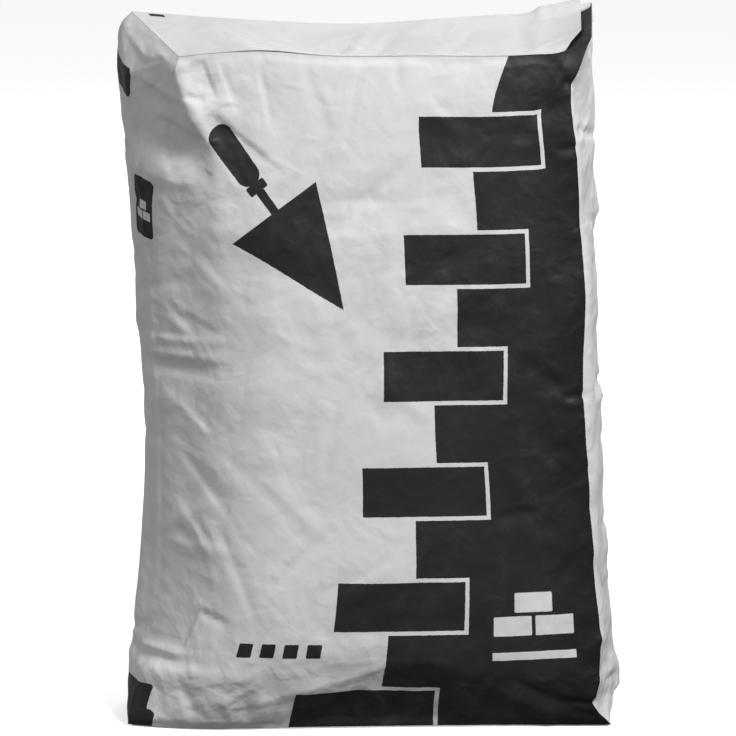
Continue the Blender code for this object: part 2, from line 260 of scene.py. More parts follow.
TOP_FOLDS = (
    ((-32, -48), (-8, 40), 1.0, 9, 7),
    ((-14, -40), (20, 46), -1.1, 8, 10),
    ((-100, 50), (-60, -20), 0.8, 12, 9),
    ((40, -45), (78, 34), -0.9, 11, 9),
    ((-150, 20), (-118, -44), -0.9, 9, 10),
    ((96, 50), (128, -10), 0.8, 8, 9),
)

# More folds at random: seed, count, the corners of the area, and the ranges of length, height,
# reach and direction.
FRONT_SCATTER = (
    (5, 54, (-150, 30), (150, 500), (25, 100), (0.4, 1.4), (6, 20), (0.7, 2.6)),
    (6, 26, (-170, 6), (170, 22), (26, 50), (0.6, 1.6), (5, 12), (1.2, 1.95)),
)
BACK_SCATTER = (
    (8, 70, (-160, 20), (160, 510), (30, 110), (0.5, 1.8), (7, 22), (0.5, 2.7)),
    (9, 26, (-170, 6), (170, 22), (26, 50), (0.6, 1.6), (5, 12), (1.2, 1.95)),
)
SIDE_SCATTER = (22, (-45, 30), (45, 505), (20, 70), (0.5, 1.8), (5, 13), (0, np.pi))
LEFT_SCATTER = ((12, *SIDE_SCATTER),)
RIGHT_SCATTER = ((13, *SIDE_SCATTER),)

DOWN_RIGHT = np.array((0.5, 0.0, -0.866))  # the way that the lens-shaped dents at the left run
DIAGONAL = np.eye(3) - 0.55 * np.outer(DOWN_RIGHT, DOWN_RIGHT)
LENSES = (-130, 40)  # where those dents are, in x, and how far they spread, in mm
SEAM_LAP = (12, 47)  # the lap of the long glued seam down the back, in x, in mm
SEAM_HEIGHT = 0.45
FLAP_HEIGHT = 1.3
CRUMPLED = (  # where the paper is crumpled most, as (centre, reach), in metres
    ((-0.155, -0.050, 0.045), (0.035, 0.050, 0.035)),
    ((-0.150, -0.045, 0.485), (0.030, 0.050, 0.035)),
    ((0.160, -0.040, 0.490), (0.022, 0.050, 0.040)),
    ((0.180, -0.030, 0.045), (0.025, 0.060, 0.040)),
    ((-0.150, -0.040, 0.290), (0.030, 0.050, 0.030)),
)

# Where a flap of the folded top left corner ends, as (x, z), in mm.
CORNER_FLAP = ((-196, 532), (-188, 519), (-180, 508), (-158, 512), (-150, 514))

# How the paper's creases are shaded and marked.
SHARP_BELOW = 0.012  # the corner creases are sharp up to this height
SHARP_ABOVE = 0.488  # and again from this one on
CREST_PASSES = 6
CREST_FULL = 0.12  # how far a full crest stands out, in mm
SHEET_EDGE = 0.8  # the angle from which an edge of a sheet is sharp
CALM = {"crest": 0.0, "restless": 0.6}

# The cover sheet on the top end, and the valve sleeve under it.
COVER_END = 0.975
COVER_FRONT_END = 0.933  # where its front edge ends: the corner beyond is cut off
COVER_CUT_DEPTH = 0.3
COVER_THICKNESS = 0.0004
COVER_SEAT = 0.0003
COVER_OVERHANG = 0.0004
SLEEVE_START = 0.870
SLEEVE_MOUTH = 0.970
SLEEVE_LIP = 0.027  # how much further its back corner comes out of the mouth
SLEEVE_SHY = 0.016  # how much further in its front corner ends, under the cover sheet
SLEEVE_WALL = 0.0005
SLEEVE_SLIT = 0.0006
SLEEVE_EDGE = 0.0012
SLEEVE_COLUMNS = 20
SLEEVE_FRONT_ROW = 13  # the row of the top end's grid where its front edge lies
COVER_EDGE_LIFT = (  # how far the front edge has come off, as (share, height)
    (0.00, 0.0000), (0.10, 0.0001), (0.16, 0.0006), (0.27, 0.0005), (0.34, 0.0001),
    (0.55, 0.0002), (0.70, 0.0000), (0.86, 0.0004), (1.00, 0.0002),
)
COVER_FLAP = 0.0036  # how far the back edge stands up beside the valve
COVER_SIZE = (COVER_END * FRONT_PAPER, 0.1)

# Tones and gloss of paper and ink.
PAPER_TONE = 0.60
VALVE_TONE = 0.66
INK_TONES = (0.0140, 0.0185)
INK_PAINTED_SHADE = 0.0100  # painted shade on the ink beside the front right crease
INK_RUBBED = 0.045
ROUGHNESS = 0.60
INK_SMOOTHER = 0.09
PAPER_SPECULAR = 0.35
PRINT_SPECULAR = 0.22
FIBRE_STRETCH = (1.0, 0.35, 0.6)

# The print, in metres on the flat paper. A box of ink is its middle, half its size and the
# radius of its corners.
EDGE = 0.00025  # half the width of an ink edge
COURSE = 0.0452  # height of a printed brick course
BRICK = 0.104
JOINT = 0.0032
WALL_START = 0.110  # where the lowest course begins
WALL_STEP = 0.0095  # how much later each further course begins
WALL_SUNK = 0.010  # how much of the lowest course is folded under
# where the painted shade on the ink beside the front right crease begins
PAINTED_SHADE_FROM = FRONT_PAPER - 0.055
BACK_MIDDLE = 1.5 * FRONT_PAPER + SIDE_PAPER
BAND = FRONT_PAPER / 2 + 0.016  # half the length of the dark bands across the back
PALE_STACK = ((0.284, 0.086), 0.030)  # bricks and a rule left pale in the dark field
PALE_RULE = ((0.284, 0.062), (0.0325, 0.0032))
BADGE = ((-0.036, 0.404), (0.017, 0.023), 0.005)
BADGE_STACK = ((-0.036, 0.398), 0.0125)
TROWEL_LEAN = 0.62
TROWELS = (((0.092, 0.395), 1.45), ((BACK_MIDDLE, 0.300), 2.1))  # place and size
BLADE_POINT = -0.050
BLADE_HEEL = 0.012
BLADE_SIDE = (0.90, 0.435)  # the way that a side of the blade faces
TROWEL_BOXES = (  # neck, collar and handle
    ((0, 0.017), (0.0026, 0.009), 0),
    ((0, 0.0275), (0.0060, 0.0026), 0.0012),
    ((0, 0.048), (0.0068, 0.0185), 0.0062),
)
STACK_PLACES = ((-0.55, 0.0), (0.55, 0.0), (0.0, 0.62))  # of the bricks, in brick lengths
STACK_BRICK = (0.50, 0.26)
STACK_CORNER = 0.03
BACK_STACKS = [((BACK_MIDDLE + (k - 1.5) * 0.055, 0.140), 0.022) for k in range(4)]
INK_BOXES = (
    *(((0.062 + 0.018 * k, 0.068), (0.0056, 0.0056), 0.001) for k in range(4)),
    ((-SIDE_PAPER, 0.493), (0.072, 0.011), 0.006),
    ((-0.060, 0.010), (0.070, 0.024), 0.003),
    ((-0.052, 0.002), (0.068, 0.012), 0.005),
    ((BACK_MIDDLE, 0.500), (BAND, 0.026)),
    ((BACK_MIDDLE, 0.012), (BAND, 0.022)),
    ((BACK_MIDDLE, 0.120), (0.110, 0.0030)),
    ((BACK_MIDDLE, 0.172), (0.110, 0.0030)),
)
COVER_MARK = ((0.0165, 0.0945), (0.0055, 0.0030))

# The studio.
FLOOR_REACH = 30.0
FLOOR_PAINT = (0.68, 0.68, 0.68)
FLOOR_GLOW = 0.6  # so that the floor is as pale far off as it is under the lamps
KEY = ((0.88, -1.50, 1.80), 0.8, 212.0)  # place, width, watts
BACK_LAMP = ((0.9, 2.8, 0.9), 1.4, 190.0)
SKY_STRENGTH = 0.34
SKY_LEAN = (-0.12, -0.02, 0.21)  # how the sky's strength changes with direction
WALL_TONE = 0.93

# The camera, set by the corners of the sack in the photograph.
CAMERA_AZIMUTH = -7
CAMERA_ELEVATION = 9
CAMERA_ROLL = 0.9
CAMERA_DISTANCE = 2.6
CAMERA_LENS = 166
CAMERA_TARGET = (-0.0072, 0.0, 0.273)


def along(stations, at):
    """A smooth curve through (position, value) stations, read at the given positions."""
    position, value = np.array(stations, float).T
    at = np.clip(np.asarray(at, float), position[0], position[-1])
    slope = np.gradient(value, position)
    left = np.clip(np.searchsorted(position, at) - 1, 0, len(position) - 2)
    step = position[left + 1] - position[left]
    t = (at - position[left]) / step
    return (
        value[left] * (1 + 2 * t) * (1 - t) ** 2
        + value[left + 1] * t**2 * (3 - 2 * t)
        + step * slope[left] * t * (1 - t) ** 2
        - step * slope[left + 1] * t**2 * (1 - t)
    )


def spread(bands):
    """Positions along bands of even steps, given as (from, to, steps)."""
    runs = [np.linspace(low, high, steps + 1)[1:] for low, high, steps in bands]
    return np.concatenate([[bands[0][0]], *runs])


def eased(low, high, value):
    """0 below low, 1 above high, and a smooth step between them."""
    t = np.clip((value - low) / (high - low), 0, 1)
    return t * t * (3 - 2 * t)


FACE_SHARES = spread(COLUMN_BANDS)
FACE_COLUMNS = len(FACE_SHARES) - 1
ROW_HEIGHTS = spread(ROW_BANDS)
# The columns of the other creases. The front starts at the front left crease, in column 0.
RIGHT_START = FACE_COLUMNS
BACK_START = RIGHT_START + SIDE_COLUMNS
LEFT_START = BACK_START + FACE_COLUMNS


# Noise

RANDOM_TABLE = np.random.default_rng(25).uniform(-1, 1, (32, 32, 32))


def looked_up(cell, shift):
    x, y, z = np.moveaxis((cell + shift) % 32, -1, 0)
    return RANDOM_TABLE[x, y, z]


def turned(seed):
    """A rotation matrix that depends on the seed alone."""
    return np.linalg.qr(np.random.default_rng(seed).normal(size=(3, 3)))[0]


def swells(points, spacing, seed):
    """Smooth noise between -1 and 1."""
    place = points @ turned(seed) / spacing
    cell = np.floor(place).astype(int)
    inside = place - cell
    inside = inside * inside * (3 - 2 * inside)
    value = 0
    for corner in np.ndindex(2, 2, 2):
        weight = np.prod(np.where(corner, inside, 1 - inside), axis=-1)
        value = value + weight * looked_up(cell + corner, seed)
    return value


def facets(points, spacing, seed):
    """Noise made of flat facets that meet in ridges, as in crumpled paper."""
    bend = np.stack([swells(points, 1.6 * spacing, seed + k) for k in (1, 2, 3)], axis=-1)
    place = (points + 0.32 * spacing * bend) @ turned(seed) / spacing
    cell = np.floor(place).astype(int)
    inside = place - cell
    order = np.argsort(-inside, axis=-1)
    ranked = np.take_along_axis(inside, order, -1)
    value = (1 - ranked[..., 0]) * looked_up(cell, seed)
    for k in range(3):
        step = np.zeros_like(cell)
        np.put_along_axis(step, order[..., k:k + 1], 1, -1)
        cell = cell + step
        following = ranked[..., k + 1] if k < 2 else 0
        value = value + (ranked[..., k] - following) * looked_up(cell, seed)
    return value


def creased(points, spacing, seed):
    """Noise of flat strips between straight creases that come and go, about -1 to 1."""
    rng = np.random.default_rng(seed)
    total = 0
    for k in range(6):
        way = rng.normal(size=3)
        way = way / np.linalg.norm(way) / (spacing * rng.uniform(0.7, 1.5))
        place = points @ way + 0.35 * swells(points, 2.2 * spacing, seed + 10 * k)
        wave = 1 - 4 * np.abs(place - np.floor(place) - 0.5)
        total = total + wave * eased(-0.05, 0.40, swells(points, 1.7 * spacing, seed + 10 * k + 5))
    return total / 2


def fold_relief(flat, folds):
    """The relief of straight folds that fade out at both ends, over flat positions, in mm."""
    relief = np.zeros(flat.shape[:-1])
    for start, end, height, left, right in folds:
        run = np.subtract(end, start).astype(float)
        length = np.hypot(*run)
        run /= length
        way = (flat - start) @ run / length
        across = (flat - start) @ (-run[1], run[0])
        crest = np.clip(1 - np.abs(across) / np.where(across > 0, left, right), 0, 1)
        relief += height * crest**1.25 * eased(-0.08, 0.3, way) * eased(-0.08, 0.3, 1 - way)
    return relief


def scattered_folds(seed, count, low, high, lengths, heights, reaches, lean):
    """Folds at random over a rectangle."""
    rng = np.random.default_rng(seed)
    made = []
    for _ in range(count):
        middle = rng.uniform(low, high)
        angle, length = rng.uniform(*lean), rng.uniform(*lengths)
        half = np.array((np.cos(angle), np.sin(angle))) * length / 2
        height = rng.uniform(*heights) * rng.choice((-1, 1))
        made.append((middle - half, middle + half, height, *rng.uniform(*reaches, 2)))
    return made


# The sack

def fallen_back(x, height):
    """How far the left of the front lies behind the face: by the shoulder or by the facet."""
    from_end = np.clip(1 - FACE_SHARES / SHOULDER_REACH, 0, 1)
    shoulder = along(SHOULDER, height) * from_end**SHOULDER_POWER
    facet = along(CORNER_SLOPE, height) * np.maximum(along(CORNER_CREASE_X, height) - x, 0)
    return np.maximum(shoulder, facet)


def face_row(left_x, right_x, left_half, right_half, crown, pinches=(0, 0)):
    """One row of the front or the back: x, and the distance from the middle plane."""
    share = FACE_SHARES
    x = left_x + (right_x - left_x) * share
    x = x + pinches[0] * (1 - share) ** PINCH_FADE - pinches[1] * share**PINCH_FADE
    half = left_half + (right_half - left_half) * share
    return x, half + crown * (1 - (2 * share - 1) ** 2) ** CROWN_FULLNESS


def side_row(height, front, back, ridge_x, roundness, outward, triangle):
    """One row of a side, from the front crease to the back one."""
    share = np.linspace(0, 1, SIDE_COLUMNS + 1)
    from_middle = np.abs(2 * share - 1)
    sharp, round_ = 1 - from_middle, np.sqrt(1 - from_middle**2)
    profile = sharp + (round_ - sharp) * roundness
    facet = min(height / triangle, (TOP_MIDDLE - height) / TRIANGLE_TOP)
    stand = max((ridge_x - (front[0] + back[0]) / 2) * outward, 0)
    row = front + (back - front) * share[:, None]
    row[:, 0] += outward * stand * np.minimum(profile, facet)
    return row


def ring(height, rest_height):
    """One row of the wall: points from the front left crease, round the sack and back."""
    def at(stations):
        return along(stations, height)

    def lifted(rim):
        return rest_height + height / TOP_MIDDLE * (along(rim, FACE_SHARES) - rest_height)

    x, y = face_row(
        at(FRONT_LEFT_X), at(FRONT_RIGHT_X), at(FRONT_HALF_LEFT), at(FRONT_HALF_RIGHT),
        at(FRONT_CROWN), (at(LEFT_PINCH), at(RIGHT_PINCH)),
    )
    front = np.stack([x, fallen_back(x, height) - y, lifted(FRONT_RIM)], 1)
    x, y = face_row(
        at(BACK_LEFT_X), at(BACK_RIGHT_X), at(BACK_HALF), at(BACK_HALF), at(BACK_CROWN)
    )
    back = np.stack([x, y, lifted(BACK_RIM)], 1)
    right = side_row(
        height, front[-1], back[-1], at(RIGHT_RIDGE_X), at(RIGHT_ROUNDNESS), 1, TRIANGLE_RIGHT
    )
    left = side_row(
        height, front[0], back[0], at(LEFT_RIDGE_X), at(LEFT_ROUNDNESS), -1, TRIANGLE_BOTTOM
    )
    return np.concatenate([front[:-1], right[:-1], back[:0:-1], left[:0:-1]])


def paper_steps():
    """The width of paper from each column to the next, round the sack."""
    face = np.diff(FACE_SHARES) * FRONT_PAPER
    side = np.full(SIDE_COLUMNS, SIDE_PAPER / SIDE_COLUMNS)
    return np.concatenate([face, side, face[::-1], side])


def rounded(grid):
    """Rounds the vertical creases: hardly at the pasted ends, and most at the front left."""
    after = paper_steps()
    before = np.roll(after, 1)
    from_start = np.cumsum(after) - after
    from_left_crease = np.minimum(from_start, after.sum() - from_start)
    at_left = np.exp(-((from_left_crease / LEFT_SPREAD) ** 2))
    reach = (
        along(LEFT_SOFTNESS, ROW_HEIGHTS)[:, None] * at_left
        + along(OTHER_SOFTNESS, ROW_HEIGHTS)[:, None] * (1 - at_left)
    )
    soft = np.minimum(reach**2 / (before * after) / ROUNDING_PASSES, 1)[..., None]
    to_left, to_right = (after / (before + after))[:, None], (before / (before + after))[:, None]
    for _ in range(ROUNDING_PASSES):
        between = to_left * np.roll(grid, 1, axis=1) + to_right * np.roll(grid, -1, axis=1)
        grid = grid + soft * (between - grid)
    return grid


def turned_under(column, outward):
    """One column of a face with its foot folded under: flat from the fold to the bottom edge."""
    y, z = column[:, 1], column[:, 2]
    fold = np.interp(column[0, 0], *np.array(TUCK_LINE).T)
    stand = TUCK_STAND * min(fold / 0.02, 1) * outward
    at_fold = np.interp(fold, z, y) + stand
    foot = y[0] - TUCK_IN * min(fold / 0.03, 1) * outward
    share = np.clip((z - z[0]) / (fold - z[0]), 0, 1)
    above = y + stand * np.exp(-np.maximum(z - fold, 0) / TUCK_FADE)
    column[:, 1] = np.where(z < fold, foot + (at_fold - foot) * share, above)


def outward_normals(grid):
    round_ = np.roll(grid, -1, axis=1) - np.roll(grid, 1, axis=1)
    normal = np.cross(round_, np.gradient(grid, axis=0))
    return normal / np.linalg.norm(normal, axis=-1, keepdims=True)


def near(points, centre, reach):
    """1 at the centre and fading to 0 at about twice the reach from it."""
    return np.exp(-np.sum(((points - centre) / reach) ** 2, axis=-1))


def wall_relief(grid, normal):
    """How far the paper stands out from the smooth form, in mm, and how crumpled it is."""
    x, y, z = np.moveaxis(grid, -1, 0) / MM
    front, back, left, right = (
        eased(0.25, 0.7, facing)
        for facing in (-normal[..., 1], normal[..., 1], -normal[..., 0], normal[..., 0])
    )
    level = ROW_HEIGHTS[:, None]
    calm = eased(0.0, 0.008, np.minimum(level, TOP_MIDDLE - level))
    crumpled = sum(near(grid, centre, reach) for centre, reach in CRUMPLED)
    near_foot = 1 - eased(0.02, 0.085, level)
    near_top = 1 - eased(0.02, 0.070, TOP_MIDDLE - level)
    near_crease = eased(0.085, 0.150, np.abs(x) * MM)
    restless = 0.8 + 1.2 * near_foot + 0.5 * near_top + 0.25 * near_crease + crumpled
    restless = restless + 0.5 * right
    busy = restless * (0.8 + 0.8 * swells(grid, 0.10, 91))

    relief = 1.6 * swells(grid, 0.130, 11)
    relief += 1.6 * np.minimum(restless, 1.6) * facets(grid, 0.080, 21)
    relief += 0.9 * busy * facets(grid, 0.038, 31)
    relief += 1.2 * busy * creased(grid, 0.060, 141)
    relief += 0.5 * busy * creased(grid, 0.026, 241)
    lenses = np.exp(-((x - LENSES[0]) / LENSES[1]) ** 2) * eased(0.02, 0.06, level)
    relief += 0.35 * lenses * facets(grid @ DIAGONAL, 0.020, 71)
    relief *= 1 - 0.45 * left
    lap = eased(SEAM_LAP[0], SEAM_LAP[0] + 0.5, x) * eased(SEAM_LAP[1], SEAM_LAP[1] - 0.5, x)
    relief += SEAM_HEIGHT * back * lap
    over = z - np.interp(x, *np.array(CORNER_FLAP).T)
    flap = eased(-0.8, 1.8, over) * (1 - 0.6 * eased(0, 20, over))
    flap *= eased(-148, -153, x) * eased(-197, -189, x)
    relief += FLAP_HEIGHT * (1 - back) * flap

    for share, along_x, folds, scatter in (
        (front, x, FRONT_FOLDS, FRONT_SCATTER),
        (back, x, (), BACK_SCATTER),
        (left, y, LEFT_FOLDS, LEFT_SCATTER),
        (right, y, RIGHT_FOLDS, RIGHT_SCATTER),
    ):
        more = [fold for draws in scatter for fold in scattered_folds(*draws)]
        relief += share * fold_relief(np.stack([along_x, z], -1), (*folds, *more))
    return relief * calm, busy


def end_grid(rim, sag):
    """A grid of points across an end, [from left to right][from front to back]."""
    front = rim[: RIGHT_START + 1]
    right = rim[RIGHT_START : BACK_START + 1]
    back = rim[BACK_START : LEFT_START + 1][::-1]
    left = np.concatenate([rim[LEFT_START:], rim[:1]])[::-1]
    along_x = FACE_SHARES[:, None, None]
    along_y = np.linspace(0, 1, SIDE_COLUMNS + 1)[None, :, None]
    grid = (
        (1 - along_y) * front[:, None] + along_y * back[:, None]
        + (1 - along_x) * left[None] + along_x * right[None]
        - (1 - along_x) * (1 - along_y) * front[0] - along_x * (1 - along_y) * front[-1]
        - (1 - along_x) * along_y * back[0] - along_x * along_y * back[-1]
    )
    hang = (4 * along_x * (1 - along_x)) ** 0.5 * (4 * along_y * (1 - along_y))
    grid[:, :, 2] -= sag * hang[:, :, 0]
    return grid


def sack_form():
    """The wall's grid, its relief in mm, how crumpled it is, and the top end."""
    low, high = (np.array(corner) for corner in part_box("sack_body"))
    grid = np.array([ring(height, low[2]) for height in ROW_HEIGHTS])
    middle = (grid.min(axis=(0, 1)) + grid.max(axis=(0, 1))) / 2
    grid[..., :2] += ((low + high) / 2 - middle)[:2]
    grid = rounded(grid)
    for i in range(FACE_COLUMNS + 1):
        turned_under(grid[:, i], -1)
        turned_under(grid[:, BACK_START + i], 1)
    normal = outward_normals(grid)
    relief, restless = wall_relief(grid, normal)
    grid = grid + normal * relief[..., None] * MM
    grid[..., 2] = np.maximum(grid[..., 2], low[2])
    grid[0, :, 2] = low[2]
    top = end_grid(grid[-1], END_SAG)
    calm = eased(0, 0.1, 0.5 - np.abs(np.linspace(-0.5, 0.5, SIDE_COLUMNS + 1)))[None, :]
    calm = calm * eased(0, 0.03, 0.5 - np.abs(FACE_SHARES - 0.5))[:, None]
    flat = top[..., :2] / MM
    top_relief = fold_relief(flat, TOP_FOLDS) + 1.3 * facets(top, 0.045, 51)
    top_relief = top_relief + 0.5 * facets(top, 0.020, 55)
    top[..., 2] += (top_relief - 0.5) * calm * MM
    return grid, relief, restless, top


def crests(relief):
    """Where the relief is a crest (above 0) or a groove (below 0), about -1 to 1."""
    around = relief
    for _ in range(CREST_PASSES):
        around = (
            np.roll(around, 1, 1) + np.roll(around, -1, 1)
            + np.concatenate([around[1:], around[-1:]]) + np.concatenate([around[:1], around[:-1]])
        ) / 4
    return np.clip((relief - around) / CREST_FULL, -1, 1)


def linked(name, data):
    """A new object of the scene that shows the data."""
    made = bpy.data.objects.new(name, data)
    bpy.context.scene.collection.objects.link(made)
    return made


def cells(columns, rows):
    """The corners of each cell of a grid, as (column, row)."""
    for i in range(columns):
        for j in range(rows):
            yield [(i, j), (i + 1, j), (i + 1, j + 1), (i, j + 1)]


def make_mesh(name, points, faces, uvs, material, values):
    """A smooth-shaded object with its paper map and named values at its points."""
    mesh = bpy.data.meshes.new(name)
    mesh.from_pydata(np.asarray(points).tolist(), [], [list(map(int, f)) for f in faces])
    layer = mesh.uv_layers.new(name="paper")
    layer.data.foreach_set("uv", np.asarray(uvs, np.float32).ravel())
    for label, value in values.items():
        attribute = mesh.attributes.new(label, "FLOAT", "POINT")
        value = np.broadcast_to(value, len(mesh.vertices))
        attribute.data.foreach_set("value", np.ascontiguousarray(value, np.float32))
    mesh.shade_smooth()
    mesh.materials.append(material)
    return linked(name, mesh)


def sharpen_creases(mesh, rows, around):
    """Marks the folds that run along the grid as sharp: the rims, and creases near the ends."""
    ends = np.zeros(len(mesh.edges) * 2, np.int32)
    mesh.edges.foreach_get("vertices", ends)
    row, column = np.divmod(ends.reshape(-1, 2), around)
    on_rim = (row == 0).all(1) | (row == rows - 1).all(1)
    height = ROW_HEIGHTS[np.minimum(row, rows - 1)].min(1)
    creases = np.isin(column[:, 0], (0, RIGHT_START, BACK_START, LEFT_START))
    on_crease = (column[:, 0] == column[:, 1]) & creases
    tight = (height < SHARP_BELOW) | (height > SHARP_ABOVE)
    sharp = (on_rim | (on_crease & tight)) & (row < rows).all(1)
    attribute = mesh.attributes.new("sharp_edge", "BOOLEAN", "EDGE")
    attribute.data.foreach_set("value", sharp)


def make_sack(grid, relief, restless, top, material):
    """The printed paper sack as one closed surface."""
    rows, around = grid.shape[:2]
    # u of each column, from the front left crease and on round to the same crease
    u = np.concatenate([[0], np.cumsum(paper_steps())])
    u[LEFT_START + 1:] -= u[-1]
    faces, uvs = [], []
    for row in range(rows - 1):
        for i in range(around):
            n = (i + 1) % around
            a, b = row * around + i, row * around + n
            faces.append((a, b, b + around, a + around))
            start = -SIDE_PAPER if i == LEFT_START else u[i]
            low, high = ROW_HEIGHTS[row : row + 2]
            uvs += [(start, low), (u[i + 1], low), (u[i + 1], high), (start, high)]
    index = np.zeros(top.shape[:2], int)
    base = (rows - 1) * around
    index[:, 0] = np.arange(base, base + RIGHT_START + 1)
    index[-1, :] = np.arange(base + RIGHT_START, base + BACK_START + 1)
    index[:, -1] = np.arange(base + BACK_START, base + LEFT_START + 1)[::-1]
    index[0, 1:] = np.arange(base + LEFT_START, base + around)[::-1]
    inner = top[1:-1, 1:-1].reshape(-1, 3)
    index[1:-1, 1:-1] = rows * around + np.arange(len(inner)).reshape(FACE_COLUMNS - 1, -1)
    for corners in cells(FACE_COLUMNS, SIDE_COLUMNS):
        faces.append([index[corner] for corner in corners])
        uvs += [
            (FACE_SHARES[i] * FRONT_PAPER, TOP_MIDDLE + j * END_PAPER / SIDE_COLUMNS)
            for i, j in corners
        ]
    # The underside is flat: strips from front to back, and one face at either side.
    flat = [[i, LEFT_START - i, LEFT_START - i - 1, i + 1] for i in range(FACE_COLUMNS)]
    flat.append(list(range(RIGHT_START, BACK_START + 1))[::-1])
    flat.append([0, *range(LEFT_START, around)[::-1]])
    faces += flat
    uvs += [(grid[0, k, 0] + FRONT_PAPER / 2, grid[0, k, 1] - END_PAPER) for f in flat for k in f]
    points = np.concatenate([grid.reshape(-1, 3), inner])
    values = {
        "crest": np.append(crests(relief), np.zeros(len(inner))),
        "restless": np.append(restless, np.ones(len(inner))),
    }
    made = make_mesh("sack", points, faces, uvs, material, values)
    sharpen_creases(made.data, rows, around)
    return made


def make_sheet(name, lower, thickness, uv_size, material):
    """A closed sheet over a grid of points."""
    columns, rows = lower.shape[:2]
    upper = lower.copy()
    upper[..., 2] += thickness
    points = np.concatenate([lower.reshape(-1, 3), upper.reshape(-1, 3)])
    index = np.arange(2 * columns * rows).reshape(2, columns, rows)
    u, v = np.linspace(0, uv_size[0], columns), np.linspace(0, uv_size[1], rows)
    faces, uvs = [], []
    for corners in cells(columns - 1, rows - 1):
        for layer, order in ((1, corners), (0, corners[::-1])):
            faces.append([index[layer][corner] for corner in order])
            uvs += [(u[i], v[j]) for i, j in order]
    rim = [(i, 0) for i in range(columns)] + [(columns - 1, j) for j in range(1, rows)]
    rim += [(i, rows - 1) for i in range(columns - 2, -1, -1)]
    rim += [(0, j) for j in range(rows - 2, 0, -1)]
    for here, there in zip(rim, rim[1:] + rim[:1]):
        faces.append([index[0][here], index[0][there], index[1][there], index[1][here]])
        uvs += [(u[i], v[j]) for i, j in (here, there, there, here)]
    made = make_mesh(name, points, faces, uvs, material, CALM)
    made.data.set_sharp_from_angle(angle=SHEET_EDGE)
    return made


def across(top, shares, row):
    """Points at given shares of the length of the top end, along one of its rows."""
    return np.stack([np.interp(shares, FACE_SHARES, top[:, row, axis]) for axis in range(3)], -1)


def cover_lift(shares, deep):
    """How far the cover sheet is held up: over the valve sleeve, and at its back flap."""
    sleeve = (2 * SLEEVE_WALL + SLEEVE_SLIT + COVER_SEAT) * eased(0.02, 0.14, deep)
    climb = eased(SLEEVE_START - 0.035, SLEEVE_START + 0.004, shares)
    flap = COVER_FLAP * eased(0.72, 1.0, deep) * eased(0.868, 0.884, shares)
    return sleeve * climb + flap


def make_cover(top, material):
    """The white sheet pasted over the top end. Its front edge has come off in places."""
    deep = np.linspace(0, 1, SIDE_COLUMNS + 1)[None, :]
    cut = np.minimum(deep / COVER_CUT_DEPTH, 1)
    ends = COVER_FRONT_END + (COVER_END - COVER_FRONT_END) * cut
    shares = np.linspace(0, 1, round(COVER_END * FACE_COLUMNS) + 1)[:, None] * ends
    rows = range(SIDE_COLUMNS + 1)
    sheet = np.stack([across(top, shares[:, row], row) for row in rows], 1)
    curl = np.exp(-deep / 0.10) * along(COVER_EDGE_LIFT, shares)
    pasted = eased(0.0, 0.05, shares) * eased(0.0, 0.1, deep) * eased(1.0, 0.93, deep)
    ripple = 0.35 * MM * (1 + facets(sheet, 0.026, 61)) * pasted
    seat = COVER_SEAT * (0.4 + 0.6 * pasted)
    sheet[..., 2] += seat + cover_lift(shares, deep) + curl + ripple
    sheet[..., 1] -= COVER_OVERHANG * np.exp(-deep / 0.04)
    thickness = COVER_THICKNESS * (0.2 + 0.8 * eased(0.0, 0.012, shares))
    return make_sheet("cover_sheet_top", sheet, thickness, COVER_SIZE, material)


def make_sleeve(top, material):
    """The valve sleeve: a paper tube pressed flat, with a lip that shows at the back corner."""
    rows = range(SLEEVE_FRONT_ROW, SIDE_COLUMNS)
    deep = np.array(rows) / SIDE_COLUMNS
    mouth = SLEEVE_MOUTH + SLEEVE_LIP * eased(0.80, 0.90, deep)
    mouth = mouth - SLEEVE_SHY * eased(0.75, 0.45, deep)
    way = np.linspace(0, 1, SLEEVE_COLUMNS + 1)
    seat = np.stack([
        across(top, SLEEVE_START + (end - SLEEVE_START) * way, row)
        for row, end in zip(rows, mouth)
    ], 1)
    seat[..., 2] += COVER_SEAT
    rise = np.array([0, 0, 1.0])
    edge = np.array([0, SLEEVE_EDGE, 0])
    points, loops = [], []
    for column in seat:
        hollow = column.copy()
        hollow[0] += edge
        hollow[-1] -= edge
        outer = [*column, *(column + rise * (2 * SLEEVE_WALL + SLEEVE_SLIT))[::-1]]
        inner = [
            *(hollow + rise * SLEEVE_WALL), *(hollow + rise * (SLEEVE_WALL + SLEEVE_SLIT))[::-1]
        ]
        for loop in (outer, inner):
            loops.append(np.arange(len(points), len(points) + len(loop)))
            points += loop
    faces, size = [], len(loops[0])
    for here in range(len(seat) - 1):
        for k in range(size):
            n = (k + 1) % size
            for inside in (0, 1):
                a, b = loops[2 * here + inside], loops[2 * here + 2 + inside]
                quad = [a[k], b[k], b[n], a[n]]
                faces.append(quad if inside else quad[::-1])
    for outer, inner, outward in ((loops[0], loops[1], False), (loops[-2], loops[-1], True)):
        for k in range(size):
            n = (k + 1) % size
            quad = [outer[k], outer[n], inner[n], inner[k]]
            faces.append(quad if outward else quad[::-1])
    uvs = [points[p][:2] for face in faces for p in face]
    made = make_mesh("valve_sleeve_paper", points, faces, uvs, material, CALM)
    made.data.set_sharp_from_angle(angle=SHEET_EDGE)
    return made


# Materials

